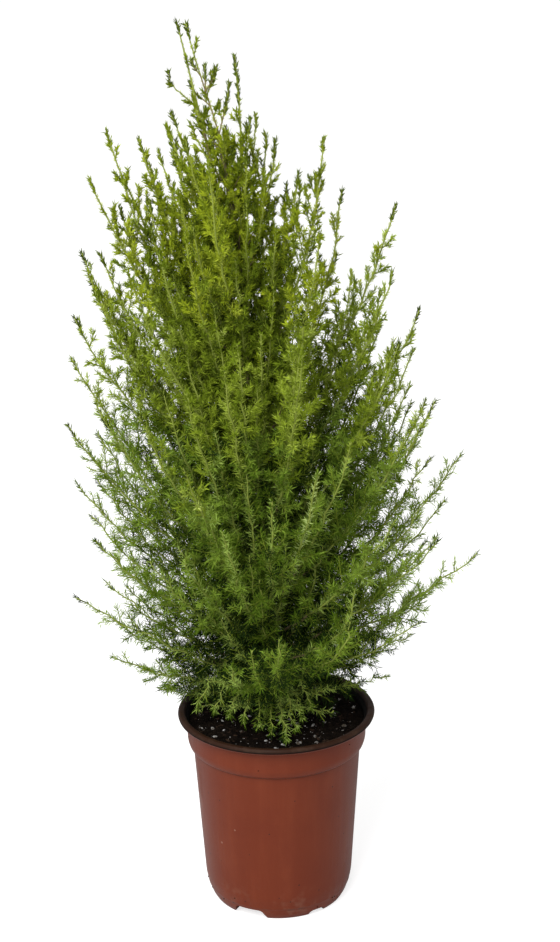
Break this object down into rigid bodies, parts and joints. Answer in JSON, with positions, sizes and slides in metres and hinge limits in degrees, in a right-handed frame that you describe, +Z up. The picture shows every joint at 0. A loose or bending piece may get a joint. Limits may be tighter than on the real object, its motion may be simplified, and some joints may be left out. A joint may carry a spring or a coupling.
{
  "type": "lemon cypress in a nursery pot",
  "caption": "Young conical conifer with feathery lime-green needle plumes round one leaning trunk, growing in a tapered plastic nursery pot filled with potting mix.",
  "frame": {"origin": "centre of the pot's flat underside, on the surface that it stands on", "axes": "+Z up along the pot's axis, +X to the right and +Y away from the viewer in the picture's view; the leader leans toward -X"},
  "size_m": [0.3293, 0.2868, 0.7398],
  "materials": {
    "pot_plastic": "satin terracotta-brown thermoformed plastic with a dark brown rim and inside",
    "potting_mix": "dark crumbly peat and bark mix with white perlite grains",
    "bark": "thin fibrous red-brown bark",
    "foliage": "soft matte yellow-green awl needles"
  },
  "bodies": {
    "root": {"back_bough_01": "bark", "back_bough_02": "bark", "back_bough_04": "bark", "back_plume_01": "foliage", "back_plume_02": "foliage", "back_plume_04": "foliage", "back_plume_07": "foliage", "back_plume_09": "foliage", "back_plume_10": "foliage", "back_plume_12": "foliage", "back_plume_15": "foliage", "back_plume_17": "foliage", "front_bough_03": "bark", "front_bough_05": "bark", "front_plume_03": "foliage", "front_plume_05": "foliage", "front_plume_06": "foliage", "front_plume_08": "foliage", "front_plume_11": "foliage", "front_plume_13": "foliage", "front_plume_14": "foliage", "front_plume_16": "foliage", "leader_plume": "foliage", "left_bough_02": "bark", "left_bough_03": "bark", "left_plume_01": "foliage", "left_plume_02": "foliage", "left_plume_03": "foliage", "left_plume_04": "foliage", "left_plume_05": "foliage", "left_plume_06": "foliage", "left_plume_07": "foliage", "left_plume_08": "foliage", "left_plume_09": "foliage", "left_plume_10": "foliage", "pot": "pot_plastic", "right_bough_02": "bark", "right_bough_03": "bark", "right_plume_01": "foliage", "right_plume_02": "foliage", "right_plume_03": "foliage", "right_plume_04": "foliage", "right_plume_05": "foliage", "right_plume_06": "foliage", "right_plume_07": "foliage", "right_plume_08": "foliage", "right_plume_09": "foliage", "second_leader": "foliage", "skirt_plume_01": "foliage", "skirt_plume_02": "foliage", "skirt_plume_03": "foliage", "skirt_plume_04": "foliage", "skirt_plume_05": "foliage", "skirt_plume_06": "foliage", "skirt_plume_07": "foliage", "soil": "potting_mix", "top_plume_01": "foliage", "top_plume_02": "foliage", "top_plume_03": "foliage", "trunk": "bark"}
  },
  "joints": []
}
